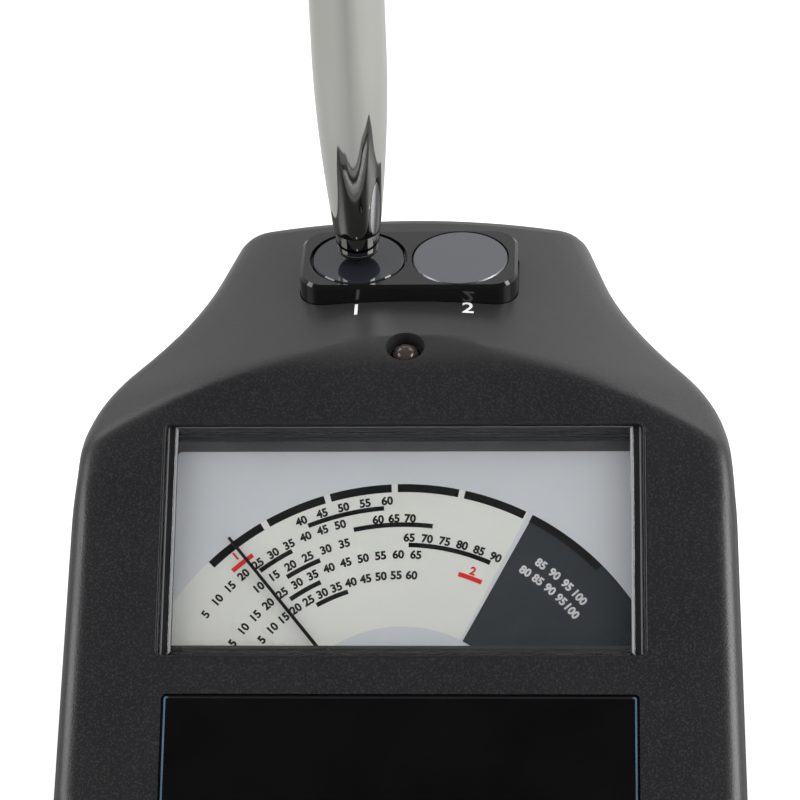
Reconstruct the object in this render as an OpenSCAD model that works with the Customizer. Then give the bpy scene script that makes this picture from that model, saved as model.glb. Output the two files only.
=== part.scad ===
// Counter-top gemstone tester: a moulded housing with a sloping meter panel, two test discs on a
// small tray behind it, and a slim hand-held probe that stands on the left disc.
// Millimetres, +Z up, front towards -Y. The origin is under the middle of the housing, on the table.

/* [Housing] */
// Width of the housing at its front corners
body_width = 104.4; // [102:0.2:112]
// Slope of the meter panel from level, in degrees
panel_slope = 35.2; // [33:0.1:37]
// Length of the meter panel, from the crease at its top down to its front edge
panel_length = 88; // [86:0.5:94]
// Height of the panel's front edge over the table
front_height = 15.5; // [15:0.5:19]
// Distance from the crease back to the rear wall
head_depth = 41.7; // [40:0.1:46]
// Height of the crowned deck over the crease, at mid width
crown_rise = 1.25; // [1:0.05:1.4]
// Radius of the crown across the deck
crown_radius = 140; // [130:1:180]
// Rounding of the front corners, seen from above
front_corner = 16; // [10:0.5:20]
// Rounding of the rear corners, seen from above
rear_corner = 5.5; // [5:0.1:8]
// Lean of the sides, in degrees: the housing narrows a little towards its shoulders
side_lean = 1.2; // [0:0.1:2]
// Radius of the outward curve of the shoulders
shoulder_radius = 25; // [22:0.5:28]
// Angle that the shoulders turn through, in degrees
shoulder_turn = 44.6; // [42:0.1:47]
// Radius of the inward curve between the shoulders and the head
neck_radius = 49; // [44:0.5:54]
// Lean of the sides of the head, in degrees
head_lean = 15.3; // [12:0.1:17]
// Distance that the shoulders start in front of the crease
shoulder_start = 10.1; // [8:0.1:12]
// Rounding of the rim of the upper shell
rim_radius = 3.6; // [3:0.1:4]
// Softness of the crease between the deck and the panel
crease_round = 1.2; // [1:0.1:2]
// Wall of the shells
wall = 2.4; // [2:0.1:2.6]
// Height of the parting line over the table
parting_height = 10; // [9:0.5:11]
// Height of the plinth that the base stands on
plinth_height = 2; // [1.4:0.1:2.2]
// Distance that the plinth is set in
plinth_inset = 1.2; // [0.6:0.1:1.6]
// Step between the two shells at the parting line
parting_step = 0.4; // [0.2:0.1:0.6]
// Height of the rim that locates the shells on each other
lip_height = 2; // [1.5:0.1:2.5]
// Wall of that rim
lip_wall = 1.4; // [1:0.1:1.8]

/* [Feet and screws] */
// Height of the feet below the base
foot_height = 1.5; // [1:0.1:3]
// Radius of a foot
foot_radius = 5; // [4:0.1:6]
// Depth of the seat of a foot in the base
foot_seat = 0.8; // [0.5:0.1:1.2]
// Shank radius of the case screws
screw_radius = 1.4; // [1.2:0.05:1.6]
// Shank length of the case screws
screw_length = 13; // [11:0.5:15]
// Head radius of the case screws
screw_head_radius = 2.7; // [2.4:0.1:3]
// Head height of the case screws
screw_head_height = 1.8; // [1.5:0.1:2.2]
// Radius of the screw bosses
boss_radius = 4; // [3.6:0.1:4.4]

/* [Test discs] */
// Width of the disc tray
tray_width = 34.9; // [34.5:0.1:38]
// Depth of the disc tray, front to back
tray_depth = 16.6; // [16.4:0.1:18]
// Distance from the crease back to the middle of the tray
tray_back = 23.6; // [22:0.1:25]
// Height of the tray's top over the crease
tray_top = 4.05; // [3.6:0.05:5]
// Rounding of the tray's corners
tray_corner = 4.2; // [3:0.1:6]
// Chamfer round the tray's top
tray_chamfer = 0.5; // [0.3:0.05:0.8]
// Radius of a test disc
disc_radius = 7.7; // [7:0.05:7.8]
// Thickness of a test disc
disc_thickness = 2; // [1.5:0.1:2.4]
// Distance between the middles of the discs
disc_pitch = 16.4; // [16.3:0.1:17]
// Distance that the glass disc is smaller than its seat's neighbour, which leaves a dark groove round it
glass_inset = 0.3; // [0.1:0.05:0.5]

/* [Ready lamp] */
// Slope of the small facet round the lamp, in degrees
facet_slope = 12; // [11:0.1:13]
// Distance of the lamp from the crease along the facet
lamp_back = 3.4; // [3.2:0.1:3.6]
// Radius of the lamp's hole
lamp_hole_radius = 3.05; // [2.9:0.05:3.2]
// Radius of the lamp
lamp_radius = 2.25; // [2.1:0.05:2.4]
// Depth of the lamp's dome below the facet
lamp_recess = 0.5; // [0.3:0.1:1]
// Length of the lamp from its dome to its flange
lamp_length = 7; // [6.5:0.1:8]

/* [Meter] */
// Distance from the side of the housing in to the meter window
window_side = 15.2; // [14.2:0.1:17.2]
// Height of the meter window, along the panel
window_height = 37; // [35:0.5:38]
// Distance from the crease down to the window
window_drop = 10.2; // [9:0.1:11]
// Rounding of the window's corners
window_corner = 0.8; // [0.5:0.1:1.5]
// Gap between the clear cover and its opening
cover_gap = 0.3; // [0.2:0.05:0.4]
// Depth of the clear cover's face below the panel
cover_recess = 0.5; // [0.3:0.1:0.8]
// Thickness of the clear cover
cover_wall = 1.3; // [1:0.1:1.4]
// Depth of the dial below the panel
dial_depth = 5.6; // [5.4:0.1:6.4]
// Thickness of the dial plate
dial_thickness = 0.8; // [0.5:0.1:1]
// Distance that the dial plate is narrower than the window, on each side
dial_side = 1.6; // [1.6:0.1:3]
// Distance from the window's top down to the dial plate's top edge
dial_drop = 2.9; // [2:0.1:4]
// Distance from the window's lower edge down to the needle's pivot
pivot_drop = 13.5; // [12.5:0.1:15]
// Length of the needle from its pivot
needle_length = 42.9; // [41:0.1:44.5]
// Width of the needle at its tip
needle_tip_width = 0.45; // [0.25:0.05:0.5]
// Width of the needle at its hub
needle_root_width = 0.6; // [0.5:0.05:1.2]
// Thickness of the needle
needle_thickness = 0.3; // [0.2:0.05:0.4]
// Needle's angle left of the middle of the scale, in degrees
needle_angle = 39; // [20:0.5:42]
// Radius of the coil's pivots
staff_radius = 0.5; // [0.4:0.05:0.6]
// Radius of the magnet core inside the coil
core_radius = 4.5; // [4:0.1:4.8]
// Thickness of the coil's winding
coil_wall = 1.2; // [1:0.05:1.3]
// Width of the coil's winding
coil_band = 2.2; // [1.8:0.1:2.4]
// Wall of the magnet yoke's ring
yoke_wall = 4.8; // [4:0.1:5.4]
// Turns of the hairspring
spring_turns = 3; // [2:1:4]
// Width of the strip of the hairspring
spring_strip = 0.25; // [0.2:0.01:0.3]
// Depth of the meter case behind its cover
meter_depth = 15.4; // [15:0.1:16.5]
// Distance that the meter is wider than its window, on each side
meter_margin = 2.4; // [2:0.1:2.6]
// Distance that the meter reaches over its window's top edge
meter_lap = 1.2; // [1:0.05:1.2]
// Wall of the meter case
meter_wall = 1.6; // [1.2:0.1:2]

/* [Name plate] */
// Distance from the side of the housing in to the plate at the foot of the panel
plate_side = 16.2; // [14.2:0.1:19.2]
// Height of that plate, along the panel
plate_height = 24.6; // [22:0.2:26]
// Distance from the window down to the plate
plate_gap = 6.2; // [5.5:0.1:6.6]
// Thickness of the plate
plate_thickness = 0.9; // [0.6:0.1:1.1]

/* [Power and board] */
// Radius of a battery
battery_radius = 5.25; // [5:0.05:5.4]
// Length of a battery
battery_length = 44.5; // [43:0.1:44.8]
// Distance between the batteries
battery_pitch = 11.5; // [11.1:0.1:11.8]
// Thickness of the battery cover
lid_thickness = 2.4; // [2:0.1:2.6]
// Thickness of the circuit board
board_thickness = 1.6; // [1:0.1:2]
// Width of the circuit board
board_width = 44; // [42:0.5:48]
// Depth of the circuit board, front to back
board_depth = 40; // [38:0.5:42]
// Height of the sockets in the rear wall, over the table
socket_height = 31; // [30:0.5:36]
// Distance of each socket from the middle of the rear wall
socket_offset = 14.5; // [13.5:0.1:16]
// Bore radius of the probe's socket
probe_jack_radius = 1.8; // [1.7:0.05:1.9]
// Bore radius of the power inlet
power_jack_radius = 2.75; // [2.6:0.05:2.9]
// Travel of the power switch
switch_travel = 3; // [2:0.1:4]

/* [Probe] */
// Radius of the probe's barrel
barrel_radius = 5.85; // [5.6:0.05:6.4]
// Radius of the barrel's lower end
barrel_end_radius = 3.75; // [3.6:0.05:4]
// Length of the tapered part of the barrel
taper_length = 33; // [30:0.5:44]
// Length of the straight part of the barrel
straight_length = 73; // [50:0.5:80]
// Length of the tail cap
tail_length = 14; // [12:0.5:18]
// Length of the nose below the barrel
nose_length = 4.8; // [4.4:0.1:5.4]
// Radius of the sensing tip
tip_radius = 0.75; // [0.6:0.05:0.9]
// Distance that the tip stands out of the nose
tip_reach = 1; // [0.8:0.05:1.5]
// Distance that the tip can be pressed in
tip_travel = 0.8; // [0.5:0.05:1]
// Wall of the barrel
barrel_wall = 0.9; // [0.7:0.05:1.1]

/* [Clearances] */
// Gap round fixed pieces in their seats
seat_gap = 0.15; // [0.1:0.01:0.2]
// Gap round sliding pieces
slide_gap = 0.3; // [0.25:0.01:0.4]
// Radial gap of a pin in its bearing
bearing_gap = 0.05; // [0.02:0.01:0.08]
// Gap between the probe's tip and the disc under it
tip_gap = 0.1; // [0.05:0.01:0.2]

/* [Hidden] */
$fn = 72;
tiny = 0.01;
// Distance that a cut runs past the face it opens, and that a post is sunk in what carries it
past = 1;
embed = 1;
shell_columns = 16;
black = [0.1, 0.1, 0.11];
shell_grey = [0.16, 0.16, 0.17];
brass = [0.75, 0.6, 0.3];
steel = [0.7, 0.7, 0.68];

// Places of the crease, the plan's front and rear, and the panel in the housing
panel_run = panel_length * cos(panel_slope);
crease_y = (panel_run - head_depth) / 2;
crease_z = front_height + panel_length * sin(panel_slope);
rear_y = crease_y + head_depth;
inner_rear_y = rear_y - wall;
base_bottom = foot_height;

// Places along the panel, measured down from the crease
window_width = body_width - 2 * window_side;
dial_width = window_width - 2 * dial_side;
plate_width = body_width - 2 * plate_side;
window_bottom = window_drop + window_height;
plate_top = window_bottom + plate_gap;
pivot_at = window_bottom + pivot_drop;
coil_gap = 0.6;
yoke_gap = 0.9;
case_gap = 0.4;
coil_reach = core_radius + coil_gap + coil_wall;
yoke_radius = coil_reach + yoke_gap;
meter_width = window_width + 2 * meter_margin;
meter_top = window_drop - meter_lap;
meter_bottom = pivot_at + yoke_radius + yoke_wall + meter_wall + case_gap;
meter_height = meter_bottom - meter_top;

// Heights in the meter, measured out of the panel's face
cover_flange = 1.2;
needle_gap = 0.7;
bridge_gap = 0.6;
spring_gap = 0.4;
coil_end_gap = 0.2;
cover_back = -wall - cover_flange;
case_back = cover_back - meter_depth;
case_floor = case_back + meter_wall;
needle_top = cover_back - needle_gap;
bridge_top = needle_top - needle_thickness - bridge_gap;
bridge_thickness = 1;
bridge_back = bridge_top - bridge_thickness;
spring_top = bridge_back - spring_gap;
spring_height = 0.4;
coil_top = spring_top - spring_height - coil_end_gap;
bearing_depth = 1;
bearing_mouth = case_floor + bearing_depth;
coil_bottom = bearing_mouth + coil_end_gap;
core_gap = 0.5;
core_top = coil_top - coil_wall - core_gap;
core_bottom = coil_bottom + coil_wall + core_gap;
leg_radius = 1.4;
leg_at = yoke_radius + yoke_wall / 2;
collet_radius = 1.1;

// Sizes of the battery bay and the board over it
bay_wall = 1.6;
bay_gap = 0.6;
contact_reach = 3.5;
contact_nub = 1;
bay_rear = inner_rear_y - slide_gap - bay_wall;
bay_front = bay_rear - battery_length - contact_reach - contact_nub;
bay_half = 1.5 * battery_pitch + bay_gap;
floor_thickness = lid_thickness + 0.2;
battery_z = base_bottom + lid_thickness + slide_gap + battery_radius;
bay_roof = battery_z + battery_radius + slide_gap;
lid_ledge = 1.3;
groove = 1.1;
board_post = 3;
board_z = bay_roof + bay_wall + board_post;
board_top = board_z + board_thickness;
board_y = (bay_front + bay_rear) / 2;
contact_thickness = 0.5;

// Places of the probe, measured from the face of the disc
disc_face_z = crease_z + tray_top;
probe_x = -disc_pitch / 2;
probe_y = crease_y + tray_back;
tip_foot = tip_gap;
nose_foot = tip_foot + tip_reach;
barrel_foot = nose_foot + nose_length;
taper_top = barrel_foot + taper_length;
straight_top = taper_top + straight_length;
bore_radius = barrel_end_radius - barrel_wall;
tail_bore = 1.7;

// Screw and foot places
boss_gap = 1;
boss_front_inset = 12.6;
boss_rear_inset = 3;
boss_x = body_width / 2 - wall - boss_radius - boss_gap;
boss_front_y = crease_y - panel_run + boss_front_inset;
boss_rear_y = crease_y - shoulder_start - boss_rear_inset;
boss_places = [[-boss_x, boss_front_y], [boss_x, boss_front_y], [-boss_x, boss_rear_y], [boss_x, boss_rear_y]];
screw_sink = 0.8;
screw_seat = base_bottom + screw_head_height + screw_sink;
foot_front_inset = [18, 13];
foot_rear_gap = 4;
foot_rear_back = 17;
foot_front_x = body_width / 2 - foot_front_inset[0];
foot_rear_x = bay_half + groove + foot_radius + foot_rear_gap;
foot_front_y = crease_y - panel_run + foot_front_inset[1];
foot_rear_y = crease_y + foot_rear_back;
foot_places = [[-foot_front_x, foot_front_y], [foot_front_x, foot_front_y],
    [-foot_rear_x, foot_rear_y], [foot_rear_x, foot_rear_y]];

// Points of an arc from one angle to another
function arc(centre, radius, from, to, steps) = [
    for (i = [0 : steps])
    let (a = from + (to - from) * i / steps)
    centre + radius * [cos(a), sin(a)]
];

// Centres of the arcs of the right-hand half of the plan, from the crease line
front_centre = [body_width / 2 - front_corner, front_corner - panel_run];
shoulder_x = body_width / 2 - (panel_run - front_corner - shoulder_start) * tan(side_lean);
shoulder_centre = [shoulder_x - shoulder_radius, -shoulder_start];
neck_centre = shoulder_centre + (shoulder_radius + neck_radius) * [cos(shoulder_turn), sin(shoulder_turn)];
neck_end = neck_centre - neck_radius * [cos(head_lean), sin(head_lean)];
rear_centre_y = head_depth - rear_corner;
rear_tangent_y = rear_centre_y + rear_corner * sin(head_lean);
rear_centre_x = neck_end[0] - (rear_tangent_y - neck_end[1]) * tan(head_lean) - rear_corner * cos(head_lean);
rear_centre = [rear_centre_x, rear_centre_y];

// Right-hand half of the plan, front to rear, moved in by a distance
function half_plan(inset) =
    let (front = arc(front_centre, front_corner - inset, -90, side_lean, 6))
    let (shoulder = arc(shoulder_centre, shoulder_radius - inset, side_lean, shoulder_turn, 13))
    let (neck = arc(neck_centre, neck_radius + inset, 180 + shoulder_turn, 180 + head_lean, 8))
    let (rear = arc(rear_centre, rear_corner - inset, head_lean, 90, 5))
    let (side = [for (v = [0.5, 0.75, 0.88, 0.94, 0.98]) front[6] + (shoulder[0] - front[6]) * v])
    concat(front, side, shoulder, [for (i = [1 : len(neck) - 1]) neck[i]], rear);
function mirrored(points) = [for (i = [len(points) - 1 : -1 : 0]) [-points[i][0], points[i][1]]];
function plan(inset) = concat(half_plan(inset), mirrored(half_plan(inset)));

// Height of the housing's top over the crease, with the crease softened
function crown_z(x) = crown_rise - crown_radius + sqrt(crown_radius ^ 2 - x ^ 2);
function panel_z(y) = y * tan(panel_slope);
function soft_min(a, b, soft) = min(a, b) - max(soft - abs(a - b), 0) ^ 2 / (4 * soft);
function top_z(x, y) = soft_min(crown_z(x), panel_z(y), crease_round);
function crease_line(x) = crown_z(x) / tan(panel_slope);

// Rows across the plan bend with the crease, and run straight at the front and the rear
function bend(y, edge_y) =
    let (share = y > edge_y ? (y - edge_y) / (head_depth - edge_y) : (edge_y - y) / (edge_y + panel_run))
    min(1, bend_hold * max(0, 1 - share));
bend_hold = 1.06;
function row_point(end, share) =
    let (x = end[0] * share)
    let (edge_y = crease_line(end[0]))
    [x, end[1] + bend(end[1], edge_y) * (crease_line(x) - edge_y)];
function plan_point(half, i, j, columns) =
    i == 0 || i == len(half) - 1
    ? [half[i][0] * (2 * j / columns - 1), half[i][1]]
    : row_point(half[i], 2 * j / columns - 1);

// The loop round a ring: front edge, right side, rear edge, left side
function loop_places(rows, columns) = concat(
    [for (j = [0 : columns]) [0, j]],
    [for (i = [1 : rows - 1]) [i, columns]],
    [for (j = [columns - 1 : -1 : 0]) [rows - 1, j]],
    [for (i = [rows - 2 : -1 : 1]) [i, 0]]
);
function loop_index(i, j, rows, columns) =
    i == 0 ? j
    : j == columns ? columns + i
    : i == rows - 1 ? columns + rows - 1 + columns - j
    : 2 * columns + 2 * (rows - 1) - i;
function on_loop(i, j, rows, columns) = i == 0 || j == 0 || i == rows - 1 || j == columns;

// A closed skin over rings: each ring is [inset, height, follows the top], and the ends are capped
function ring_points(ring, columns) =
    let (half = half_plan(ring[0]))
    [for (p = loop_places(len(half), columns)) with_height(plan_point(half, p[0], p[1], columns), ring)];
function with_height(p, ring) = [p[0], p[1], ring[1] + (ring[2] ? top_z(p[0], p[1]) : 0)];
function cap_points(ring, columns) =
    let (half = half_plan(ring[0]))
    [for (i = [1 : len(half) - 2]) for (j = [1 : columns - 1])
        with_height(plan_point(half, i, j, columns), ring)];
function cap_faces(rows, columns, loop_start, inner_start, up) =
    let (at = function (i, j) on_loop(i, j, rows, columns)
        ? loop_start + loop_index(i, j, rows, columns)
        : inner_start + (i - 1) * (columns - 1) + j - 1)
    [for (i = [0 : rows - 2]) for (j = [0 : columns - 1])
        let (a = at(i, j), b = at(i + 1, j), c = at(i + 1, j + 1), d = at(i, j + 1))
        each up ? [[a, b, c], [a, c, d]] : [[a, c, b], [a, d, c]]];
function wall_faces(rings, loop) = [
    for (k = [0 : rings - 2]) for (i = [0 : loop - 1])
    let (a = k * loop + i, b = k * loop + (i + 1) % loop, c = b + loop, d = a + loop)
    each [[a, d, c], [a, c, b]]
];
module ring_skin(rings, columns) {
    rows = len(half_plan(0));
    loop = 2 * columns + 2 * (rows - 1);
    last = len(rings) - 1;
    inner = (rows - 2) * (columns - 1);
    foot_at = len(rings) * loop;
    loops = [for (ring = rings) each ring_points(ring, columns)];
    points = concat(loops, cap_points(rings[0], columns), cap_points(rings[last], columns));
    faces = concat(
        wall_faces(len(rings), loop),
        cap_faces(rows, columns, 0, foot_at, false),
        cap_faces(rows, columns, last * loop, foot_at + inner, true)
    );
    polyhedron(points, faces, convexity = 6);
}

// Frames: the crease, the panel's face, the lamp's facet, and the probe standing on its disc
module at_crease() {
    translate([0, crease_y, crease_z]) children();
}
module on_panel(down = 0, out = 0) {
    at_crease() rotate([panel_slope, 0, 0]) translate([0, -down, out]) children();
}
module on_facet(out = 0) {
    at_crease() rotate([facet_slope, 0, 0]) translate([0, lamp_back, out]) children();
}
module at_probe(up = 0) {
    translate([probe_x, probe_y, disc_face_z + up]) children();
}
module at_rear(x, out = 0) {
    translate([x, rear_y + out, socket_height]) rotate([-90, 0, 0]) children();
}

// A flat rectangle with round corners, about its middle
module round_rect(width, depth, corner) {
    square([width - 2 * corner, depth], center = true);
    square([width, depth - 2 * corner], center = true);
    for (x = [-1, 1]) for (y = [-1, 1])
        translate([x * (width / 2 - corner), y * (depth / 2 - corner)]) circle(corner);
}
module tube(outer, inner, height) {
    difference() {
        cylinder(h = height, r = outer);
        translate([0, 0, -past]) cylinder(h = height + 2 * past, r = inner);
    }
}

// The housing's outside, and the space inside its upper shell
rim_steps = 5;
function rim_ring(i) =
    let (a = 90 * i / rim_steps)
    [rim_radius * (1 - cos(a)), rim_radius * (sin(a) - 1), true];
module shell_outside() {
    rims = [for (i = [0 : rim_steps]) rim_ring(i)];
    at_crease() ring_skin(concat([[0, parting_height - crease_z, false]], rims), shell_columns);
}
module shell_inside() {
    intersection() {
        at_crease() translate([0, 0, -crease_z]) linear_extrude(crease_z + 2 * crown_rise) polygon(plan(wall));
        at_crease() translate([0, head_depth + past, crown_rise - crown_radius]) rotate([90, 0, 0])
            cylinder(h = head_depth + panel_run + 2 * past, r = crown_radius - wall, $fn = 256);
        on_panel() translate([-body_width, -2 * panel_length, -3 * crease_z - wall])
            cube([2 * body_width, 4 * panel_length, 3 * crease_z]);
    }
}
module screw_bosses() {
    for (p = boss_places)
        translate([p[0], p[1], parting_height]) tube(boss_radius, screw_radius + bearing_gap, crease_z);
}
module tray_shape(grow = 0) {
    round_rect(tray_width + 2 * grow, tray_depth + 2 * grow, tray_corner + grow);
}
plate_corner = 0.6;
module plate_shape(grow = 0) {
    round_rect(plate_width + 2 * grow, plate_height + 2 * grow, plate_corner + grow);
}
// The facet is what a level cut leaves of the crown, from a little in front of the crease to behind it
facet_reach = [5, 10];
module facet_cut() {
    at_crease() rotate([facet_slope, 0, 0]) translate([-body_width / 2, -facet_reach[0], 0])
        cube([body_width, facet_reach[0] + facet_reach[1], facet_reach[1]]);
}
tray_seat = -0.4;
lamp_hole_depth = 6;
module top_shell() {
    color(shell_grey) difference() {
        shell_outside();
        difference() {
            shell_inside();
            screw_bosses();
        }
        facet_cut();
        on_facet(-lamp_hole_depth) cylinder(h = lamp_hole_depth + past, r = lamp_hole_radius);
        at_crease() translate([0, tray_back, tray_seat]) linear_extrude(tray_top) tray_shape(seat_gap);
        on_panel(window_drop + window_height / 2, -wall - past) linear_extrude(wall + 2 * past)
            round_rect(window_width, window_height, window_corner);
        on_panel(plate_top + plate_height / 2, -plate_thickness) linear_extrude(plate_thickness + past)
            plate_shape(seat_gap);
        at_rear(-socket_offset, -wall - past) cylinder(h = wall + 2 * past, r = jack_collar + seat_gap);
        at_rear(socket_offset, -wall - past) cylinder(h = wall + 2 * past, r = inlet_collar + seat_gap);
        at_rear(0, -wall - past) linear_extrude(wall + 2 * past)
            square([knob_width + switch_travel + 2 * slide_gap, knob_height + 2 * slide_gap], center = true);
    }
}

// Base with its battery bay, board posts, screw posts and locating rim
module base_outside() {
    at_crease() translate([0, 0, base_bottom - crease_z]) {
        linear_extrude(plinth_height + tiny) polygon(plan(parting_step + plinth_inset));
        translate([0, 0, plinth_height]) linear_extrude(parting_height - base_bottom - plinth_height)
            polygon(plan(parting_step));
    }
}
module bay_box(grow, bottom, top) {
    translate([-bay_half - grow, bay_front - grow, bottom])
        cube([2 * (bay_half + grow), bay_rear - bay_front + 2 * grow, top - bottom]);
}
// The cover is a flat plate with a tongue along each side, which runs in a groove over a ledge
lid_lap = 1;
lid_inset = 0.5;
lid_lift = 0.1;
module lid_shape(side_gap, lift, top) {
    front = bay_front - lid_lap - side_gap;
    run = rear_y - front + past;
    plate = bay_half - lid_inset + side_gap;
    tongue = bay_half + groove + side_gap;
    translate([-plate, front, base_bottom - past]) cube([2 * plate, run, past + lid_thickness]);
    translate([-tongue, front, base_bottom + lift]) cube([2 * tongue, run, top - lift]);
}
post_radius = 2.4;
post_inset = 1;
board_posts = [for (x = [-1, 1]) for (y = [-1, 1])
    [x * (bay_half - post_radius), board_y + y * (board_depth / 2 - post_radius - post_inset)]];
module base_shell() {
    color(shell_grey) difference() {
        union() {
            difference() {
                base_outside();
                at_crease() translate([0, 0, base_bottom + floor_thickness - crease_z])
                    linear_extrude(parting_height) polygon(plan(wall + parting_step));
            }
            at_crease() translate([0, 0, parting_height - embed - crease_z]) linear_extrude(embed + lip_height)
                difference() {
                    polygon(plan(wall + seat_gap));
                    polygon(plan(wall + seat_gap + lip_wall));
                }
            for (p = boss_places)
                translate([p[0], p[1], base_bottom + embed])
                    cylinder(h = parting_height - base_bottom - embed, r = boss_radius);
            bay_box(bay_wall, base_bottom + embed, bay_roof + bay_wall);
            for (p = board_posts)
                translate([p[0], p[1], bay_roof]) cylinder(h = bay_wall + board_post, r = post_radius);
        }
        bay_box(0, base_bottom - past, bay_roof);
        lid_shape(slide_gap, lid_ledge, floor_thickness);
        for (p = boss_places) translate([p[0], p[1], 0]) {
            cylinder(h = parting_height + past, r = screw_radius + seat_gap);
            cylinder(h = screw_seat, r = screw_head_radius + slide_gap);
        }
        for (p = boss_places) translate([p[0], p[1], parting_height])
            cylinder(h = lip_height + past, r = boss_radius + seat_gap);
        for (p = foot_places) translate([p[0], p[1], 0])
            cylinder(h = base_bottom + foot_seat, r = foot_radius + seat_gap);
    }
}
module battery_cover() {
    color(shell_grey) intersection() {
        lid_shape(0, lid_ledge + lid_lift, lid_thickness);
        base_outside();
    }
}
foot_chamfer = 0.5;
module foot(i) {
    color(black) translate(foot_places[i]) rotate_extrude() polygon([
        [0, 0], [foot_radius - foot_chamfer, 0], [foot_radius, foot_chamfer],
        [foot_radius, foot_height + foot_seat], [0, foot_height + foot_seat]
    ]);
}
cross_slot = [0.7, 3.4, 1.4];
module case_screw(i) {
    color(steel) translate([boss_places[i][0], boss_places[i][1], screw_seat - screw_head_height])
        difference() {
            union() {
                cylinder(h = screw_head_height, r = screw_head_radius);
                cylinder(h = screw_head_height + screw_length, r = screw_radius);
            }
            for (turn = [0, 90]) rotate(turn) translate([-cross_slot[0] / 2, -cross_slot[1] / 2, -past])
                cube([cross_slot[0], cross_slot[1], past + cross_slot[2]]);
        }
}

// Test discs in their tray, and the bare plate at the foot of the panel
module disc_tray() {
    floor_z = tray_top - disc_thickness;
    color(black) at_crease() translate([0, tray_back, 0]) difference() {
        union() {
            translate([0, 0, tray_seat]) linear_extrude(tray_top - tray_chamfer - tray_seat) tray_shape();
            hull() {
                translate([0, 0, tray_top - tray_chamfer]) linear_extrude(tiny) tray_shape();
                translate([0, 0, tray_top - tiny]) linear_extrude(tiny) tray_shape(-tray_chamfer);
            }
        }
        for (x = [-1, 1]) translate([x * disc_pitch / 2, 0, floor_z])
            cylinder(h = disc_thickness + past, r = disc_radius + seat_gap);
    }
}
disc_edge = 0.2;
module test_disc(side, radius) {
    at_crease() translate([side * disc_pitch / 2, tray_back, tray_top - disc_thickness])
        rotate_extrude() polygon([
            [0, 0], [radius, 0], [radius, disc_thickness - disc_edge],
            [radius - disc_edge, disc_thickness], [0, disc_thickness]
        ]);
}
module glass_disc() {
    color([0.33, 0.34, 0.35]) test_disc(-1, disc_radius - glass_inset);
}
module reference_disc() {
    color([0.45, 0.45, 0.47]) test_disc(1, disc_radius);
}
plate_sink = 0.2;
module name_plate() {
    color([0.05, 0.05, 0.06]) on_panel(plate_top + plate_height / 2, -plate_thickness)
        linear_extrude(plate_thickness - plate_sink) plate_shape();
}

// Ready lamp: a clear round lamp with a flange, held behind its facet
lamp_flange = 0.9;
lamp_flange_lap = 0.4;
lamp_flange_radius = lamp_radius + lamp_flange_lap;
lamp_foot = -lamp_recess - lamp_length;
holder_wall = 2.2;
module ready_lamp() {
    color([0.75, 0.75, 0.78]) on_facet(lamp_foot) rotate_extrude() {
        square([lamp_radius, lamp_length - lamp_radius]);
        square([lamp_flange_radius, lamp_flange]);
        intersection() {
            translate([0, lamp_length - lamp_radius]) circle(lamp_radius);
            square([lamp_radius, lamp_length]);
        }
    }
}
module lamp_holder() {
    color(black) difference() {
        intersection() {
            on_facet(lamp_foot) cylinder(h = lamp_length, r = lamp_radius + holder_wall);
            translate([0, 0, -bearing_gap]) shell_inside();
        }
        on_facet(lamp_foot - past) cylinder(h = lamp_length + 2 * past, r = lamp_radius + seat_gap);
        on_facet(lamp_foot - past) cylinder(h = past + lamp_flange + tiny, r = lamp_flange_radius + seat_gap);
    }
}

// Meter: clear cover, case with its dial, magnet and bearings, and the parts that swing
meter_corner = 2;
dial_corner = 0.7;
rail_lap = 1.6;
bearing_wall = 1.6;
// Behind its flange the cover has a skirt to the dial, open along its lower side for the needle
skirt_inset = 0.4;
skirt_gap = 0.3;
module meter_cover() {
    raised_width = window_width - 2 * cover_gap;
    raised_height = window_height - 2 * cover_gap;
    window_middle = window_drop + window_height / 2;
    inner_width = raised_width - 2 * cover_wall;
    skirt_foot = skirt_gap - dial_depth;
    color([0.8, 0.85, 0.9, 0.3]) difference() {
        union() {
            on_panel(window_middle, cover_back + tiny) linear_extrude(-cover_recess - cover_back - tiny)
                round_rect(raised_width, raised_height, window_corner);
            on_panel(window_middle, skirt_foot) linear_extrude(cover_back - skirt_foot + tiny)
                square([raised_width - 2 * skirt_inset, raised_height - 2 * skirt_inset], center = true);
            on_panel((meter_top + meter_bottom) / 2, cover_back) linear_extrude(-wall - cover_back)
                round_rect(meter_width, meter_height, meter_corner);
        }
        on_panel(window_middle, skirt_foot - past) linear_extrude(past - skirt_foot - cover_recess - cover_wall)
            square([inner_width, raised_height - 2 * cover_wall], center = true);
        on_panel(window_bottom, skirt_foot - past) translate([-inner_width / 2, 0, 0])
            cube([inner_width, cover_gap + cover_wall + past, cover_back - skirt_foot + past]);
    }
}
rail_width = meter_width / 2 - meter_wall - dial_width / 2 + rail_lap;
dial_top = window_drop + dial_drop;
dial_bottom = window_bottom + pivot_drop / 2;
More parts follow.
